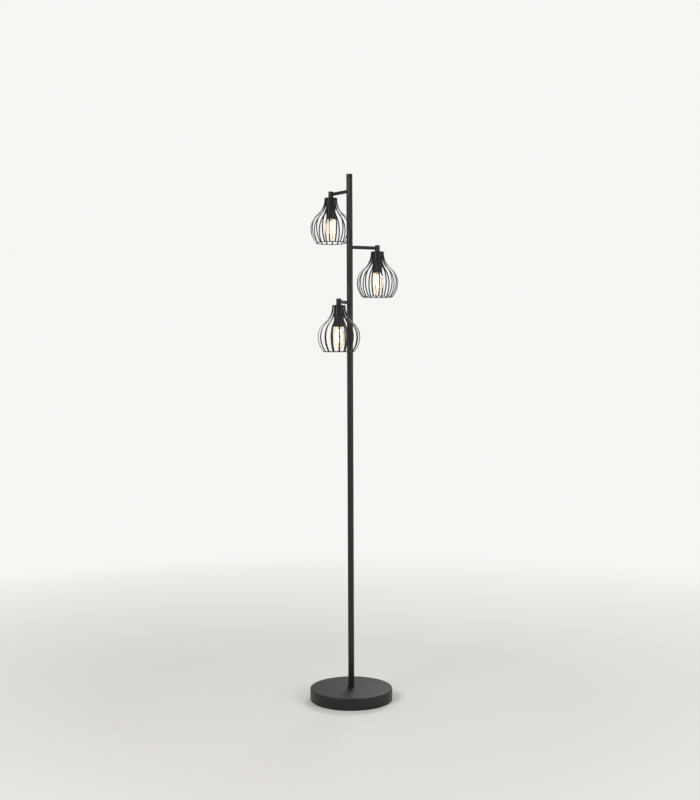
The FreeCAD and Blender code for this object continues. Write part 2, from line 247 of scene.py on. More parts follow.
def mouldedPlastic():
    look = plasticLook
    material, tree, shader = newMaterial("holderPlastic")
    skin = effect(tree, "skin", grainScale=look["grainScale"], cloudScale=look["cloudScale"])
    dust = effect(tree, "dust", amount=look["dustAmount"], patchScale=look["patchScale"])["Dust"]
    base = mixColours(tree, skin["Cloud"], look["colour"], look["cloud"])
    feed(tree, shader.inputs["Base Color"], mixColours(tree, dust, base, look["dust"]))
    feed(tree, shader.inputs["Roughness"], spread(tree, skin["Cloud"], whole, look["roughness"]))
    bump(tree, shader, skin["Height"], *look["bump"])
    return material


rubberLook = {"lighter": 1.6, "roughness": (0.75, 0.92), "cloudScale": 35.0, "bumpStrength": 0.6}


def softRubber(name, colour, grainScale, depth):
    look = rubberLook
    material, tree, shader = newMaterial(name)
    skin = effect(tree, "skin", grainScale=grainScale, cloudScale=look["cloudScale"])
    lighter = tuple(look["lighter"] * share for share in colour[:3]) + (1.0,)
    feed(tree, shader.inputs["Base Color"], mixColours(tree, skin["Cloud"], colour, lighter))
    feed(tree, shader.inputs["Roughness"], spread(tree, skin["Height"], noiseWide, look["roughness"]))
    bump(tree, shader, skin["Height"], look["bumpStrength"], depth)
    return material


cementLook = {
    "colour": grey(0.42, 0.02), "cloud": grey(0.56, 0.03), "roughness": (0.8, 0.95),
    "grainScale": 260.0, "cloudScale": 22.0, "bump": (0.8, 0.3 * mm),
}


def castCement():
    look = cementLook
    material, tree, shader = newMaterial("castCement")
    skin = effect(tree, "skin", grainScale=look["grainScale"], cloudScale=look["cloudScale"])
    feed(tree, shader.inputs["Base Color"], mixColours(tree, skin["Cloud"], look["colour"], look["cloud"]))
    feed(tree, shader.inputs["Roughness"], spread(tree, skin["Height"], noiseWide, look["roughness"]))
    bump(tree, shader, skin["Height"], *look["bump"])
    return material


glassLook = {
    "clear": (1, 0.985, 0.95, 1), "cloud": (1, 0.97, 0.92, 1), "roughness": (0.0, 0.03), "bending": 1.45,
    "glow": (1.0, 0.62, 0.26, 1), "grainScale": 90.0, "cloudScale": 25.0,
}


def clearGlass(name, glow):
    # shadow and soft rays go straight through, and so do mirror rays that have passed no glass yet
    look = glassLook
    material, tree, shader = newMaterial(name)
    skin = effect(tree, "skin", grainScale=look["grainScale"], cloudScale=look["cloudScale"])
    feed(tree, shader.inputs["Base Color"], mixColours(tree, skin["Cloud"], look["clear"], look["cloud"]))
    feed(tree, shader.inputs["Roughness"], spread(tree, skin["Cloud"], whole, look["roughness"]))
    shader.inputs["Transmission Weight"].default_value = 1.0
    shader.inputs["IOR"].default_value = look["bending"]
    shader.inputs["Emission Color"].default_value = look["glow"]
    shader.inputs["Emission Strength"].default_value = glow
    path = place(tree, "ShaderNodeLightPath").outputs
    outside = mathNode(tree, "LESS_THAN", path["Transmission Depth"], 0.5)  # no glass passed yet
    mirrored = mathNode(tree, "MULTIPLY", path["Is Glossy Ray"], outside)
    soft = mathNode(tree, "MAXIMUM", path["Is Shadow Ray"], path["Is Diffuse Ray"])
    through = mathNode(tree, "MAXIMUM", soft, mirrored)
    nothing = place(tree, "ShaderNodeBsdfTransparent").outputs[0]
    surface = mixShaders(tree, through, shader.outputs[0], nothing)
    feed(tree, tree.nodes["Material Output"].inputs["Surface"], surface)
    return material


glowLook = {
    "coat": (0.95, 0.62, 0.18, 1), "beads": (1, 0.8, 0.4, 1), "coatLight": (1, 0.66, 0.3, 1),
    "beadLight": (1, 0.8, 0.5, 1), "roughness": (0.35, 0.6), "strength": 9.0,
    "grainScale": 700.0, "cloudScale": 120.0,
}


def glowingCoat():
    # the yellow coat of a filament: small beads are paler and brighter than what lies between them
    look = glowLook
    material, tree, shader = newMaterial("glowingCoat")
    skin = effect(tree, "skin", grainScale=look["grainScale"], cloudScale=look["cloudScale"])
    feed(tree, shader.inputs["Base Color"], mixColours(tree, skin["Height"], look["coat"], look["beads"]))
    light = mixColours(tree, skin["Height"], look["coatLight"], look["beadLight"])
    feed(tree, shader.inputs["Emission Color"], light)
    feed(tree, shader.inputs["Roughness"], spread(tree, skin["Cloud"], whole, look["roughness"]))
    shader.inputs["Emission Strength"].default_value = look["strength"]
    return material


zincLook = {"colour": grey(0.62), "tint": (0.68, 0.68, 0.63, 1), "roughness": 0.34, "across": 2600.0}
brassLook = {"colour": (0.72, 0.5, 0.2, 1), "tint": (0.6, 0.4, 0.16, 1), "roughness": 0.3, "across": 1800.0}
nickelLook = {
    "colour": (0.66, 0.63, 0.58, 1), "tint": (0.74, 0.72, 0.68, 1), "roughness": 0.25, "across": 2000.0,
}

finishes = {
    "black_paint": powderCoat("powderCoat", dustAmount=0.05, grainScale=850.0),
    "zinc_steel": drawnMetal("zincSteel", **zincLook),
    "cement": castCement(),
    "pad_foam": softRubber("padFoam", grey(0.03), grainScale=1200.0, depth=0.15 * mm),
    "gland_rubber": softRubber("glandRubber", grey(0.022), grainScale=700.0, depth=0.05 * mm),
    "holder_plastic": mouldedPlastic(),
    "brass": drawnMetal("pressedBrass", **brassLook),
    "nickel": drawnMetal("nickelCap", **nickelLook),
    "bulb_glass": clearGlass("bulbGlass", glow=0.06),
    "filament": glowingCoat(),
}
finePaint = powderCoat("cagePaint", dustAmount=0.03, grainScale=1300.0)
stemGlass = clearGlass("stemGlass", glow=0.10)
print("finishes made:", len(finishes) + 2)


# outlines in radius and height, and meshes made from them

meshing = {"merge": 0.002 * mm, "sharpAngle": 35.0}


def circleOf(sides):
    return [2 * math.pi * side / sides for side in range(sides)]


def arcOf(middle, radius, fromAngle, toAngle, steps):
    angles = [fromAngle + (toAngle - fromAngle) * step / steps for step in range(steps + 1)]
    return [(middle[0] + radius * math.cos(a), middle[1] + radius * math.sin(a)) for a in angles]


def roundedOutline(corners, steps=4):
    # corners are (radius, height, rounding): each rounded one becomes a short arc
    outline = []
    count = len(corners)
    for index, (x, z, rounding) in enumerate(corners):
        here = Vector((x, z))
        if rounding <= 0:
            outline.append((x, z))
            continue
        back = (Vector(corners[index - 1][:2]) - here).normalized()
        ahead = (Vector(corners[(index + 1) % count][:2]) - here).normalized()
        half = back.angle(ahead) / 2
        middle = here + (back + ahead).normalized() * rounding / math.sin(half)
        first = here + back * rounding / math.tan(half) - middle
        last = here + ahead * rounding / math.tan(half) - middle
        turn = first.angle_signed(last)
        for step in range(steps + 1):
            angle = -turn * step / steps
            swung = (
                first.x * math.cos(angle) - first.y * math.sin(angle),
                first.x * math.sin(angle) + first.y * math.cos(angle),
            )
            outline.append((middle.x + swung[0], middle.y + swung[1]))
    return outline


def finishMesh(name, mesh, material):
    # merges doubles, turns every face outwards, and shades smooth except at sharp edges
    work = bmesh.new()
    work.from_mesh(mesh)
    bmesh.ops.remove_doubles(work, verts=work.verts, dist=meshing["merge"])
    bmesh.ops.recalc_face_normals(work, faces=work.faces)
    work.to_mesh(mesh)
    work.free()
    mesh.shade_smooth()
    mesh.set_sharp_from_angle(angle=math.radians(meshing["sharpAngle"]))
    mesh.materials.clear()
    mesh.materials.append(material)
    piece = bpy.data.objects.new(name, mesh)
    bpy.context.scene.collection.objects.link(piece)
    return piece


def joinRings(work, rings, closed):
    # bands of faces from each ring of points to the next, and from the last to the first if closed
    for low, high in zip(rings, rings[1:] + rings[:1] if closed else rings[1:]):
        for index in range(len(low)):
            after = (index + 1) % len(low)
            work.faces.new((low[index], low[after], high[after], high[index]))


def lathe(name, outline, sides, material, closed=True, where=(0, 0, 0), frameTurn=None, wave=None):
    # turns an outline about an upright axis; wave adds to the radius by angle and height
    mesh = bpy.data.meshes.new(name)
    work = bmesh.new()
    rings = []
    for radius, height in outline:
        ring = []
        for angle in circleOf(sides):
            reach = radius + (wave(angle, height) if wave and radius > 0 else 0.0)
            ring.append(work.verts.new((reach * math.cos(angle), reach * math.sin(angle), height)))
        rings.append(ring)
    joinRings(work, rings, closed)
    bmesh.ops.remove_doubles(work, verts=work.verts, dist=meshing["merge"])
    work.to_mesh(mesh)
    work.free()
    if frameTurn:
        mesh.transform(frameTurn)
    mesh.transform(Matrix.Translation(where))
    return finishMesh(name, mesh, material)


def sweep(work, points, radius, sides, closed=False):
    # a round bar along a line of points, into a bmesh
    count = len(points)
    rings = []
    for index, point in enumerate(points):
        ahead = points[(index + 1) % count] if closed else points[min(index + 1, count - 1)]
        behind = points[index - 1] if closed else points[max(index - 1, 0)]
        along = (ahead - behind).normalized()
        aside = aside - along * aside.dot(along) if rings else along.orthogonal()
        aside.normalize()
        over = along.cross(aside)
        rings.append([
            work.verts.new(point + radius * (aside * math.cos(a) + over * math.sin(a)))
            for a in circleOf(sides)
        ])
    joinRings(work, rings, closed)
    if not closed:
        work.faces.new(rings[0][::-1])
        work.faces.new(rings[-1])


def own(piece, body, slotName, *nodes):
    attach(piece, body)
    if nodes:
        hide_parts(*nodes)


# geometry node trees

def geometryTree(name, inputs):
    tree = bpy.data.node_groups.new(name, "GeometryNodeTree")
    tree.interface.new_socket(name="Geometry", in_out="INPUT", socket_type="NodeSocketGeometry")
    for key, (kind, value) in inputs.items():
        socket = tree.interface.new_socket(name=label(key), in_out="INPUT", socket_type="NodeSocket" + kind)
        if value is not None:
            socket.default_value = value
    tree.interface.new_socket(name="Geometry", in_out="OUTPUT", socket_type="NodeSocketGeometry")
    return tree, place(tree, "NodeGroupInput"), place(tree, "NodeGroupOutput")


def paintedEnd(tree, geometry, start, end):
    # every tree ends in plain geometry with its material set
    real = place(tree, "GeometryNodeRealizeInstances")
    feed(tree, real.inputs[0], geometry)
    paint = place(tree, "GeometryNodeSetMaterial")
    feed(tree, paint.inputs["Geometry"], real.outputs[0])
    feed(tree, paint.inputs["Material"], start.outputs["Material"])
    feed(tree, end.inputs[0], paint.outputs[0])


def ringOfCopiesTree():
    # turns copies of the mesh about the upright axis through the origin
    tree, start, end = geometryTree("ringOfCopies", {
        "count": ("Int", 18), "firstTurn": ("Float", 0.0), "material": ("Material", None),
    })
    dots = place(tree, "GeometryNodePoints")
    feed(tree, dots.inputs["Count"], start.outputs["Count"])
    step = mathNode(tree, "DIVIDE", 2 * math.pi, start.outputs["Count"])
    index = place(tree, "GeometryNodeInputIndex").outputs[0]
    spin = place(tree, "ShaderNodeCombineXYZ")
    feed(tree, spin.inputs["Z"], mathNode(tree, "MULTIPLY_ADD", index, step, start.outputs["First Turn"]))
    copies = place(tree, "GeometryNodeInstanceOnPoints")
    feed(tree, copies.inputs["Points"], dots.outputs[0])
    feed(tree, copies.inputs["Instance"], start.outputs["Geometry"])
    feed(tree, copies.inputs["Rotation"], spin.outputs[0])
    paintedEnd(tree, copies.outputs[0], start, end)
    return tree


def hoopTree():
    # a round wire bent into a hoop
    tree, start, end = geometryTree("wireHoop", {
        "hoopRadius": ("Float", 0.044), "wireRadius": ("Float", 0.001), "steps": ("Int", 120),
        "sides": ("Int", 14), "material": ("Material", None),
    })
    hoop = place(tree, "GeometryNodeCurvePrimitiveCircle")
    feed(tree, hoop.inputs["Resolution"], start.outputs["Steps"])
    feed(tree, hoop.inputs["Radius"], start.outputs["Hoop Radius"])
    wire = place(tree, "GeometryNodeCurvePrimitiveCircle")
    feed(tree, wire.inputs["Resolution"], start.outputs["Sides"])
    feed(tree, wire.inputs["Radius"], start.outputs["Wire Radius"])
    skin = place(tree, "GeometryNodeCurveToMesh")
    feed(tree, skin.inputs["Curve"], hoop.outputs[0])
    feed(tree, skin.inputs["Profile Curve"], wire.outputs[0])
    paintedEnd(tree, skin.outputs[0], start, end)
    return tree


trees = {"copies": ringOfCopiesTree(), "hoop": hoopTree()}


def grown(name, mesh, treeName, where, **values):
    # runs a tree on a mesh and keeps the result as a plain mesh, moved to its place
    seed = bpy.data.objects.new(name + "Seed", mesh)
    bpy.context.scene.collection.objects.link(seed)
    modifier = seed.modifiers.new("grow", "NODES")
    modifier.node_group = trees[treeName]
    wanted = {label(key): value for key, value in values.items()}
    for item in trees[treeName].interface.items_tree:
        if item.in_out == "INPUT" and item.name in wanted:
            modifier[item.identifier] = wanted[item.name]
    bpy.context.view_layer.update()
    result = bpy.data.meshes.new_from_object(seed.evaluated_get(bpy.context.evaluated_depsgraph_get()))
    bpy.data.objects.remove(seed)
    result.transform(Matrix.Translation(where))
    return finishMesh(name, result, values["material"])


# the stand; in all that follows, sides and steps set how finely a piece is turned and rounded

cover = {"wall": 1.2 * mm, "edge": 3 * mm, "brim": 0.4 * mm, "hole": 5.3 * mm, "sides": 160, "steps": 8}


def buildCover():
    low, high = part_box("base_cover")
    inner, under = high.x - cover["wall"], high.z - cover["wall"]
    piece = lathe("baseCover", roundedOutline([
        (cover["hole"], high.z, 0), (high.x, high.z, cover["edge"]), (high.x, low.z, cover["brim"]),
        (inner, low.z, cover["brim"]), (inner, under, cover["edge"] - cover["wall"]),
        (cover["hole"], under, 0),
    ], cover["steps"]), cover["sides"], finishes["black_paint"])
    own(piece, "stand", "black_paint", "base_cover")


collar = {"edge": 1.0 * mm, "foot": 0.2 * mm, "hole": 5.3 * mm, "sides": 64, "steps": 5}


def buildCollar():
    low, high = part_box("foot_collar")
    piece = lathe("footCollar", roundedOutline([
        (collar["hole"], high.z, 0), (high.x, high.z, collar["edge"]), (high.x, low.z, collar["foot"]),
        (collar["hole"], low.z, 0),
    ], collar["steps"]), collar["sides"], finishes["black_paint"])
    own(piece, "stand", "black_paint", "foot_collar")


gland = {
    "bore": 3.5 * mm, "flange": 6.5 * mm, "neck": 4.8 * mm, "thick": 1.5 * mm, "innerLip": 0.3 * mm,
    "innerEdge": 0.4 * mm, "fold": 0.2 * mm, "outerEdge": 0.9 * mm, "outerLip": 0.5 * mm, "sides": 40,
}


def buildGland():
    # turned upright, then laid down so that it points out of the back of the cover
    g = gland
    low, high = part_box("cable_gland")
    innerNeck, outerNeck = low.y + g["thick"], high.y - g["thick"]
    outline = roundedOutline([
        (g["bore"], low.y, g["innerLip"]), (g["flange"], low.y, g["innerEdge"]),
        (g["flange"], innerNeck, g["fold"]), (g["neck"], innerNeck, 0),
        (g["neck"], outerNeck, 0), (g["flange"], outerNeck, g["fold"]),
        (g["flange"], high.y, g["outerEdge"]), (g["bore"], high.y, g["outerLip"]),
    ])
    piece = lathe("cableGland", outline, g["sides"], finishes["gland_rubber"],
                  where=(0, 0, (low.z + high.z) / 2), frameTurn=Matrix.Rotation(math.radians(-90), 4, "X"))
    own(piece, "stand", "gland_rubber", "cable_gland")


tube = {"wall": 1.2 * mm, "edge": 0.35 * mm, "innerEdge": 0.1 * mm, "gap": 0.05 * mm, "sides": 72, "steps": 3}


def buildTube(node, body):
    # a straight length of pole with broken edges and a hair's gap, so that each joint shows as a fine line
    low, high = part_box(node)
    outer, inner = high.y, high.y - tube["wall"]
    bottom, top = low.z + tube["gap"], high.z - tube["gap"]
    name = node.replace("_p", "P").replace("_s", "S")
    piece = lathe(name, roundedOutline([
        (outer, top, tube["edge"]), (outer, bottom, tube["edge"]),
        (inner, bottom, tube["innerEdge"]), (inner, top, tube["innerEdge"]),
    ], tube["steps"]), tube["sides"], finishes["black_paint"])
    own(piece, body, "black_paint", node)


topEnd = {
    "plate": 1.5 * mm, "edge": 0.6 * mm, "lowEdge": 0.1 * mm, "step": 1.22 * mm, "spigotEdge": 0.4 * mm,
    "sides": 72, "steps": 5,
}


def buildTopCap():
    low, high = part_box("top_cap")
    radius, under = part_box("upper_pole")[1].y, high.z - topEnd["plate"]
    inner = radius - topEnd["step"]
    piece = lathe("topCap", roundedOutline([
        (0, high.z, 0), (radius, high.z, topEnd["edge"]), (radius, under, topEnd["lowEdge"]),
        (inner, under, 0), (inner, low.z, topEnd["spigotEdge"]), (0, low.z, 0),
    ], topEnd["steps"]), topEnd["sides"], finishes["black_paint"], closed=False)
    own(piece, "upper_head", "black_paint", "top_cap")


# the shades, and the arms that carry them

# a strip ends before the middle of the ring's wire, by stopShort times the wire's radius
cage = {
    "strips": 18, "width": 4.0 * mm, "thickness": 1.0 * mm, "softEdge": 0.22 * mm, "steps": 14,
    "neck": 19.2 * mm, "straight": 3.0 * mm, "belly": 61.0 * mm, "bellyDepth": 90.0 * mm,
    "height": 132.7 * mm, "flare": 60.0 * mm, "ring": 44.3 * mm, "wire": 1.15 * mm, "stopShort": 0.7,
    "ringSteps": 144, "ringSides": 14,
}
frontTurn = {"lower": 2.4, "middle": 3.5, "upper": -3.5}  # how far the front strip is turned, in degrees


def stripLine(inset):
    # the strip's face as radius and depth below the plate, from the neck to the ring
    c = cage
    fall = c["bellyDepth"] - c["straight"]
    flareAngle = 2 * math.atan((c["belly"] - c["neck"]) / fall)
    upperRadius = fall / math.sin(flareAngle) - c["flare"]
    halfway = c["thickness"] / 2
    inward = c["belly"] - halfway - c["ring"]
    down = c["height"] - c["bellyDepth"]
    midRadius = (inward ** 2 + down ** 2) / (2 * inward)
    lowerAngle = math.asin(down / midRadius) - c["stopShort"] * c["wire"] / midRadius
    lowerRadius = midRadius + halfway
    flareMiddle = (c["neck"] + c["flare"], -c["straight"])
    upperMiddle = (c["belly"] - upperRadius, -c["bellyDepth"])
    lowerMiddle = (c["belly"] - lowerRadius, -c["bellyDepth"])
    line = [(c["neck"] - inset, 0.0)]
    line += arcOf(flareMiddle, c["flare"] + inset, math.pi, math.pi + flareAngle, c["steps"])
    line += arcOf(upperMiddle, upperRadius - inset, flareAngle, 0, c["steps"])[1:]
    line += arcOf(lowerMiddle, lowerRadius - inset, 0, -lowerAngle, c["steps"])[1:]
    return line


# the weld of a strip on the ring: its place from the wire's middle, and its half sizes
stripWeld = {"inward": 0.1 * mm, "lift": 0.35 * mm, "size": (1.45 * mm, 2.0 * mm, 1.15 * mm), "fineness": 2}


def stripMesh():
    # one flat strip in the XZ plane with softly broken long edges, and its weld on the ring
    mesh = bpy.data.meshes.new("strip")
    work = bmesh.new()
    half, soft, thick = cage["width"] / 2, cage["softEdge"], cage["thickness"]
    corners = [
        (-half + soft, 0), (half - soft, 0), (half, soft), (half, thick - soft),
        (half - soft, thick), (-half + soft, thick), (-half, thick - soft), (-half, soft),
    ]
    rings = []
    for (outR, outZ), (inR, inZ) in zip(stripLine(0.0), stripLine(thick)):
        outside, inside = Vector((outR, 0, outZ)), Vector((inR, 0, inZ))
        depth = (inside - outside) / thick
        spots = [outside + depth * inset + Vector((0, side, 0)) for side, inset in corners]
        rings.append([work.verts.new(spot) for spot in spots])
    joinRings(work, rings, closed=False)
    work.faces.new(rings[0])
    work.faces.new(rings[-1][::-1])
    blob = bmesh.ops.create_icosphere(work, subdivisions=stripWeld["fineness"], radius=1.0)
    onRing = Matrix.Translation((cage["ring"] - stripWeld["inward"], 0, -cage["height"] + stripWeld["lift"]))
    shape = Matrix.Diagonal((*stripWeld["size"], 1.0))
    bmesh.ops.transform(work, matrix=onRing @ shape, verts=blob["verts"])
    work.to_mesh(mesh)
    work.free()
    return mesh


# the plate's rim lies inside the strips' outer faces, by inset times their thickness
cagePlate = {"hole": 5.3 * mm, "inset": 0.9, "topEdge": 0.5 * mm, "lowEdge": 0.3 * mm, "sides": 90}


def buildShade(name, axis):
    body, here = name + "_head", (axis.x, axis.y, 0)
    low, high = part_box(name + "_cage_plate")
    top = Vector((axis.x, axis.y, high.z))
    turn = math.radians(frontTurn[name] - 90)
    strips = grown(name + "CageStrips", stripMesh(), "copies", top,
                   count=cage["strips"], firstTurn=turn, material=finePaint)
    own(strips, body, "black_paint", name + "_cage_strips")
    ring = grown(name + "CageRing", bpy.data.meshes.new("empty"), "hoop",
                 top - Vector((0, 0, cage["height"])), hoopRadius=cage["ring"], wireRadius=cage["wire"],
                 steps=cage["ringSteps"], sides=cage["ringSides"], material=finePaint)
    own(ring, body, "black_paint", name + "_cage_ring")
    rim = cage["neck"] - cagePlate["inset"] * cage["thickness"]
    plate = lathe(name + "CagePlate", roundedOutline([
        (cagePlate["hole"], high.z, 0), (rim, high.z, cagePlate["topEdge"]),
        (rim, low.z, cagePlate["lowEdge"]), (cagePlate["hole"], low.z, 0),
    ]), cagePlate["sides"], finePaint, where=here)
    own(plate, body, "black_paint", name + "_cage_plate")


knuckle = {
    "radius": 7.4 * mm, "bore": 3.4 * mm, "topEdge": 1.1 * mm, "lowEdge": 0.35 * mm, "sides": 64, "steps": 6,
}


def buildKnuckle(name, axis, armHeight):
    low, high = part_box(name + "_knuckle")
    radius, bore = knuckle["radius"], knuckle["bore"]
    piece = lathe(name + "Knuckle", roundedOutline([
        (0, high.z, 0), (radius, high.z, knuckle["topEdge"]), (radius, low.z, knuckle["lowEdge"]),
        (bore, low.z, 0), (bore, armHeight, 0), (0, armHeight, 0),
    ], knuckle["steps"]), knuckle["sides"], finishes["black_paint"], closed=False, where=(axis.x, axis.y, 0))
    own(piece, name + "_head", "black_paint", name + "_knuckle")


arm = {
    "radius": 5.0 * mm, "wall": 1.0 * mm, "intoPole": 1.7 * mm, "intoKnuckle": 3.0 * mm, "sides": 48,
    "bead": 0.55 * mm, "beadLift": 0.1 * mm, "beadSides": 8,
}


def buildArm(name, axis, height):
    # the arm's tube, and the weld beads where it meets the pole and the knuckle
    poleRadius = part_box("lower_pole")[1].y
    length = math.hypot(axis.x, axis.y)
    circle = circleOf(arm["sides"])
    mesh = bpy.data.meshes.new(name + "Arm")
    work = bmesh.new()
    start, end = poleRadius - arm["intoPole"], length - arm["intoKnuckle"]
    outer, inner = arm["radius"], arm["radius"] - arm["wall"]
    joinRings(work, [
        [work.verts.new((along, reach * math.cos(a), reach * math.sin(a))) for a in circle]
        for along, reach in ((start, outer), (end, outer), (end, inner), (start, inner))
    ], closed=True)
    seam = outer + arm["beadLift"]
    for centreX, surface, sign in ((0.0, poleRadius, 1), (length, knuckle["radius"], -1)):
        path = []
        for a in circle:
            y, z = seam * math.cos(a), seam * math.sin(a)
            path.append(Vector((centreX + sign * math.sqrt(surface ** 2 - y ** 2), y, z)))
        sweep(work, path, arm["bead"], arm["beadSides"], closed=True)
    work.to_mesh(mesh)
    work.free()
    mesh.transform(Matrix.Translation((0, 0, height)) @ Matrix.Rotation(math.atan2(axis.y, axis.x), 4, "Z"))
    own(finishMesh(name + "Arm", mesh, finishes["black_paint"]), name + "_head", "black_paint", name + "_arm")


holder = {
    "radius": 14.25 * mm, "wall": 1.6 * mm, "seam": 0.35 * mm, "shoulder": 2.0 * mm, "threadBore": 5.05 * mm,
    "boss": 8.05 * mm, "bossDepth": 10 * mm, "bossEdge": 0.2 * mm, "roof": 3 * mm, "roofFillet": 0.5 * mm,
    "innerEdge": 0.1 * mm, "mouth": 0.7 * mm, "innerMouth": 0.5 * mm, "floor": 3 * mm,
    "floorFillet": 0.4 * mm, "contactBore": 2.52 * mm, "bore": 8.06 * mm, "tube": 9.66 * mm,
    "tubeDepth": 19 * mm, "tubeEdge": 0.3 * mm, "boreEdge": 0.2 * mm, "sides": 80, "capSteps": 6,
    "sleeveSteps": 5,
}


def buildHolder(name, axis):
    h = holder
    body, here = name + "_head", (axis.x, axis.y, 0)
    outer, inner = h["radius"], h["radius"] - h["wall"]
    low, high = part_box(name + "_holder_cap")
    roof, bossEnd = high.z - h["roof"], high.z - h["bossDepth"]
    cap = lathe(name + "HolderCap", roundedOutline([
        (h["threadBore"], high.z, 0), (outer, high.z, h["shoulder"]), (outer, low.z, h["seam"]),
        (inner, low.z, h["innerEdge"]), (inner, roof, h["roofFillet"]),
        (h["boss"], roof, 0), (h["boss"], bossEnd, h["bossEdge"]), (h["threadBore"], bossEnd, 0),
    ], h["capSteps"]), h["sides"], finishes["holder_plastic"], where=here)
    own(cap, body, "holder_plastic", name + "_holder_cap")
    low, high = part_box(name + "_holder_sleeve")
    floorZ = high.z - h["floor"]
    tubeEnd = floorZ - h["tubeDepth"]
    sleeve = lathe(name + "HolderSleeve", roundedOutline([
        (h["contactBore"], high.z, 0), (outer, high.z, h["seam"]), (outer, low.z, h["mouth"]),
        (inner, low.z, h["innerMouth"]), (inner, floorZ, h["floorFillet"]), (h["tube"], floorZ, 0),
        (h["tube"], tubeEnd, h["tubeEdge"]), (h["bore"], tubeEnd, h["boreEdge"]), (h["bore"], floorZ, 0),
        (h["contactBore"], floorZ, 0),
    ], h["sleeveSteps"]), h["sides"], finishes["holder_plastic"], where=here)
    own(sleeve, body, "holder_plastic", name + "_holder_sleeve")


# the bulbs; steps are those of the neck, the shoulder, the taper and the tip

candle = {
    "neck": 8.2 * mm, "radius": 17.5 * mm, "waist": 29.0 * mm, "flare": 20.0 * mm, "tip": 4.0 * mm,
    "glass": 0.8 * mm, "tuck": 2.2 * mm, "steps": (10, 12, 20, 8), "sides": 64,
}


def glassOutline(rim, tip):
    # a candle shape: a short neck, a flare, the shoulder, a long taper and a round tip, then back inside
    b = candle
    widest = rim - b["waist"]
    flareAngle = 2 * math.atan((b["radius"] - b["neck"]) / b["waist"])
    shoulder = b["waist"] / math.sin(flareAngle) - b["flare"]
    reach = widest - tip - b["tip"]
    taper = (b["radius"] ** 2 + reach ** 2 - b["tip"] ** 2) / (2 * (b["radius"] - b["tip"]))
    taperAngle = math.asin(reach / (taper - b["tip"]))
    neckMiddle = (b["neck"] + b["flare"], rim)
    neckSteps, shoulderSteps, taperSteps, tipSteps = b["steps"]

    def wallLine(inset):
        line = arcOf(neckMiddle, b["flare"] + inset, math.pi, math.pi + flareAngle, neckSteps)
        line += arcOf((b["radius"] - shoulder, widest), shoulder - inset, flareAngle, 0, shoulderSteps)[1:]
        line += arcOf((b["radius"] - taper, widest), taper - inset, 0, -taperAngle, taperSteps)[1:]
        line += arcOf((0, tip + b["tip"]), b["tip"] - inset, -taperAngle, -math.pi / 2, tipSteps)[1:]
        return line

    top = rim + b["tuck"]
    return [(b["neck"], top)] + wallLine(0.0) + wallLine(b["glass"])[::-1] + [(b["neck"] - b["glass"], top)]


# shapes in millimetres: contact is (radius, down from the top), lip is (in from its radius, up from the end)
screwCap = {
    "crest": 6.94 * mm, "root": 6.15 * mm, "pitch": 2.82 * mm, "turns": 6, "stepsEachTurn": 10,
    "aboveThread": 3.7 * mm, "contact": ((0, 0), (1.9, 0), (2.4, 0.5), (2.4, 1.3)),
    "throat": (0.2 * mm, 0.6 * mm), "lipRadius": 8.6 * mm,
    "lip": ((0.4, 2.4), (0, 1.8), (0, 0.2), (0.1, 0), (0.35, 0), (0.35, 2.2)), "floor": 2.2 * mm, "sides": 56,
}


def buildScrewCap(name, here):
    # contact, screw thread and lip; the thread is a wave that runs round the turned cap
    s = screwCap
    low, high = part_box(name + "_bulb_cap")
    screwTop = high.z - s["aboveThread"]
    screwEnd = screwTop - s["turns"] * s["pitch"]
    middle, swing = (s["crest"] + s["root"]) / 2, (s["crest"] - s["root"]) / 2
    rings = s["stepsEachTurn"] * s["turns"]
    outline = [(radius * mm, high.z - down * mm) for radius, down in s["contact"]]
    outline += [(middle, screwTop - step * (screwTop - screwEnd) / rings) for step in range(rings + 1)]
    outline.append((middle + s["throat"][0], screwEnd - s["throat"][1]))
    outline += [(s["lipRadius"] - inward * mm, low.z + up * mm) for inward, up in s["lip"]]
    outline.append((0, low.z + s["floor"]))

    def helix(angle, height):
        if not screwEnd <= height <= screwTop:
            return 0.0
        fade = min(1.0, (screwTop - height) / s["pitch"], (height - screwEnd) / s["pitch"])
        return swing * fade * math.cos(2 * math.pi * (height - screwTop) / s["pitch"] - angle)

    cap = lathe(name + "BulbCap", outline, s["sides"], finishes["nickel"],
                closed=False, where=here, wave=helix)
    own(cap, name + "_bulb", "nickel", name + "_bulb_cap")


# a wire's bends at the stem are (radius, up from the stem's end) in millimetres
filament = {
    "rods": 4, "firstTurn": 0.6, "rodRadius": 0.8 * mm, "rodLength": 36.0 * mm, "rodSides": 12,
    "rodSteps": 12, "topCircle": 5.2 * mm, "bottomCircle": 2.6 * mm, "drop": 3.0 * mm,
    "wire": 0.25 * mm, "wireSides": 6, "stemBends": ((0.5, 0.5), (3.2, -0.8)),
    "rodBend": (-0.6 * mm, 0, -1.2 * mm), "hubDrop": 1.6 * mm,
}


def barMesh(name, lines, radius, sides):
    # round bars along one or more lines, as one mesh
    mesh = bpy.data.meshes.new(name)
    work = bmesh.new()
    for line in lines:
        sweep(work, line, radius, sides)
    work.to_mesh(mesh)
    work.free()
    return mesh


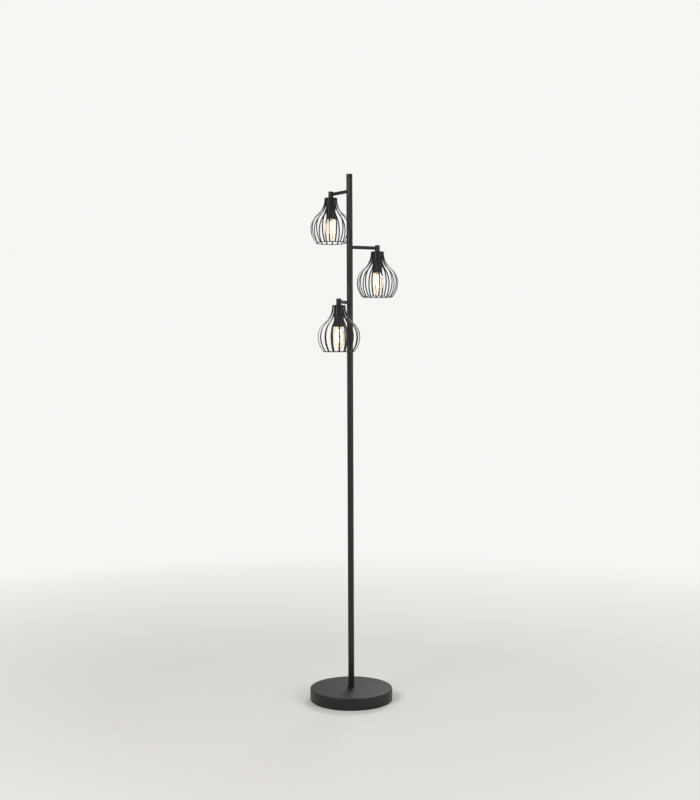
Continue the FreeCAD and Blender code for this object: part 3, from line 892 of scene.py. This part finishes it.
def buildFilament(name, here, stemEnd):
    f, body = filament, name + "_bulb"
    rodsTop = stemEnd - f["drop"]
    rodsEnd = rodsTop - f["rodLength"]
    first, last = Vector((f["topCircle"], 0, rodsTop)), Vector((f["bottomCircle"], 0, rodsEnd))
    line = [first.lerp(last, step / f["rodSteps"]) for step in range(f["rodSteps"] + 1)]
    rod = barMesh("rod", [line], f["rodRadius"], f["rodSides"])
    rods = grown(name + "GlowRods", rod, "copies", here,
                 count=f["rods"], firstTurn=f["firstTurn"], material=finishes["filament"])
    own(rods, body, "filament", name + "_filament")
    fromStem = [Vector((radius * mm, 0, stemEnd + up * mm)) for radius, up in f["stemBends"]] + [first]
    toHub = [last, last + Vector(f["rodBend"]), Vector((0, 0, rodsEnd - f["hubDrop"]))]
    wires = barMesh("wires", [fromStem, toHub], f["wire"], f["wireSides"])
    hung = grown(name + "LeadWires", wires, "copies", here,
                 count=f["rods"], firstTurn=f["firstTurn"], material=finishes["zinc_steel"])
    own(hung, body, "zinc_steel")


# the flare is (radius, down from the top, rounding) in millimetres
stem = {
    "length": 11.0 * mm, "flare": ((6.8, 0, 0), (6.4, 1.0, 0.4), (2.4, 3.2, 1.2)), "end": 1.5 * mm,
    "endEdge": 0.7 * mm, "sides": 32, "steps": 5,
}


def buildStem(name, here, top, end):
    flare = [(radius * mm, top - down * mm, rounding * mm) for radius, down, rounding in stem["flare"]]
    outline = roundedOutline([
        (0, top, 0), *flare, (stem["end"], end, stem["endEdge"]), (0, end, 0),
    ], stem["steps"])
    piece = lathe(name + "GlassStem", outline, stem["sides"], stemGlass, closed=False, where=here)
    own(piece, name + "_bulb", "bulb_glass")


def buildBulb(name, axis):
    here = (axis.x, axis.y, 0)
    low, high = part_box(name + "_bulb_glass")
    outline = glassOutline(high.z - candle["tuck"], low.z)
    glass = lathe(name + "BulbGlass", outline, candle["sides"], finishes["bulb_glass"], where=here)
    own(glass, name + "_bulb", "bulb_glass", name + "_bulb_glass")
    buildScrewCap(name, here)
    stemEnd = high.z - stem["length"]
    buildFilament(name, here, stemEnd)
    buildStem(name, here, high.z, stemEnd)


# what is built, in order

def buildStand():
    buildCover()
    buildCollar()
    buildGland()
    for node in ("lower_pole", "upper_pole"):
        buildTube(node, "stand")
    print("stand built")


def buildHeads():
    for name in frontTurn:
        low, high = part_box(name + "_cage_ring")
        axis = Vector(((low.x + high.x) / 2, (low.y + high.y) / 2, 0))
        armLow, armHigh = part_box(name + "_arm")
        armHeight = (armLow.z + armHigh.z) / 2
        buildShade(name, axis)
        buildKnuckle(name, axis, armHeight)
        buildArm(name, axis, armHeight)
        buildHolder(name, axis)
        buildBulb(name, axis)
        buildTube(name + "_section", name + "_head")
        print(name, "head built, arm at", round(armHeight, 4))
    buildTopCap()


def finishCadNodes():
    # the nodes that stay as they are take the finish of their slot
    slots = {item["node"]: item["material_slot"] for item in frame["record"]["subparts"]}
    kept = 0
    for node, piece in frame["nodes"].items():
        piece.data.materials.clear()
        piece.data.materials.append(finishes[slots[node]])
        kept += not piece.hide_render
    print("nodes kept from the frame:", kept)


# room, light and camera

studio = {
    "floor": (0.80, 0.79, 0.77, 1), "floorRoughness": 0.85, "floorRadius": 14.0, "floorSides": 96,
    "fade": (0.7, 2.6), "backdrop": (0.93, 0.92, 0.90, 1), "light": (1.0, 0.985, 0.96, 1), "strength": 0.42,
}


def buildFloor():
    # a pale floor that runs out into the plain backdrop
    mesh = bpy.data.meshes.new("floor")
    work = bmesh.new()
    bmesh.ops.create_circle(work, cap_ends=True, radius=studio["floorRadius"], segments=studio["floorSides"])
    work.to_mesh(mesh)
    work.free()
    floor = bpy.data.objects.new("floor", mesh)
    bpy.context.scene.collection.objects.link(floor)
    material, tree, shader = newMaterial("paleFloor")
    shader.inputs["Base Color"].default_value = studio["floor"]
    shader.inputs["Roughness"].default_value = studio["floorRoughness"]
    far = place(tree, "ShaderNodeVectorMath", operation="LENGTH")
    feed(tree, far.inputs[0], place(tree, "ShaderNodeTexCoord").outputs["Object"])
    share = spread(tree, far.outputs["Value"], studio["fade"], whole)
    path = place(tree, "ShaderNodeLightPath").outputs
    mirrored = mathNode(tree, "MAXIMUM", path["Is Glossy Ray"], path["Is Transmission Ray"])
    seen = mathNode(tree, "MAXIMUM", path["Is Camera Ray"], mirrored)
    plain = place(tree, "ShaderNodeEmission")
    plain.inputs["Color"].default_value = studio["backdrop"]
    surface = mixShaders(tree, mathNode(tree, "MULTIPLY", share, seen), shader.outputs[0], plain.outputs[0])
    feed(tree, tree.nodes["Material Output"].inputs["Surface"], surface)
    mesh.materials.append(material)


def buildWorld():
    # the backdrop where it is seen, and a softer light for all else
    world = bpy.data.worlds.new("studio")
    bpy.context.scene.world = world
    world.use_nodes = True
    tree = world.node_tree
    light = tree.nodes["Background"]
    light.inputs["Color"].default_value = studio["light"]
    light.inputs["Strength"].default_value = studio["strength"]
    shown = place(tree, "ShaderNodeBackground")
    shown.inputs["Color"].default_value = studio["backdrop"]
    path = place(tree, "ShaderNodeLightPath").outputs
    seen = mathNode(tree, "MAXIMUM", path["Is Camera Ray"], path["Is Transmission Ray"])
    surface = mixShaders(tree, seen, light.outputs[0], shown.outputs[0])
    feed(tree, tree.nodes["World Output"].inputs["Surface"], surface)


warmWhite, white = (1.0, 0.98, 0.95), (1, 1, 1)
lamps = {
    "key": {"spot": (-2.0, -2.4, 2.6), "aim": (0, 0, 0.9), "size": 1.6, "power": 60.0, "colour": warmWhite},
    "fill": {"spot": (2.4, -1.6, 1.4), "aim": (0, 0, 0.9), "size": 1.8, "power": 26.0, "colour": white},
    "rim": {"spot": (0.8, 2.6, 2.4), "aim": (0, 0, 1.1), "size": 1.4, "power": 34.0, "colour": white},
}


def buildLamp(name, spot, aim, size, power, colour):
    data = bpy.data.lights.new(name, "AREA")
    data.shape = "DISK"
    data.size = size
    data.energy = power
    data.color = colour
    lamp = bpy.data.objects.new(name, data)
    lamp.location = spot
    lamp.rotation_euler = (Vector(aim) - Vector(spot)).to_track_quat("-Z", "Y").to_euler()
    bpy.context.scene.collection.objects.link(lamp)


view = {
    "distance": 3.426, "height": 1.003, "aside": -0.0009, "pitch": 3.06, "roll": -0.22,
    "focalPixels": 1164.9, "principalRow": 424.5, "imageHeight": 800.0, "sensor": 36.0,
}


def buildCamera():
    # the sensor's width spans the picture's taller side
    data = bpy.data.cameras.new("camera")
    data.sensor_width = view["sensor"]
    data.lens = view["focalPixels"] * view["sensor"] / view["imageHeight"]
    data.shift_y = (view["principalRow"] - view["imageHeight"] / 2) / view["imageHeight"]
    camera = bpy.data.objects.new("camera", data)
    spot = Matrix.Translation((view["aside"], -view["distance"], view["height"]))
    tilt = Matrix.Rotation(math.radians(90 - view["pitch"]), 4, "X")
    camera.matrix_world = spot @ tilt @ Matrix.Rotation(math.radians(view["roll"]), 4, "Z")
    bpy.context.scene.collection.objects.link(camera)
    bpy.context.scene.camera = camera


buildStand()
buildHeads()
finishCadNodes()
buildFloor()
buildWorld()
for lampName, lampValues in lamps.items():
    buildLamp(lampName, **lampValues)
buildCamera()
bpy.context.scene.view_settings.view_transform = "Standard"
print("room, light and camera set")

bpy.context.view_layer.update()
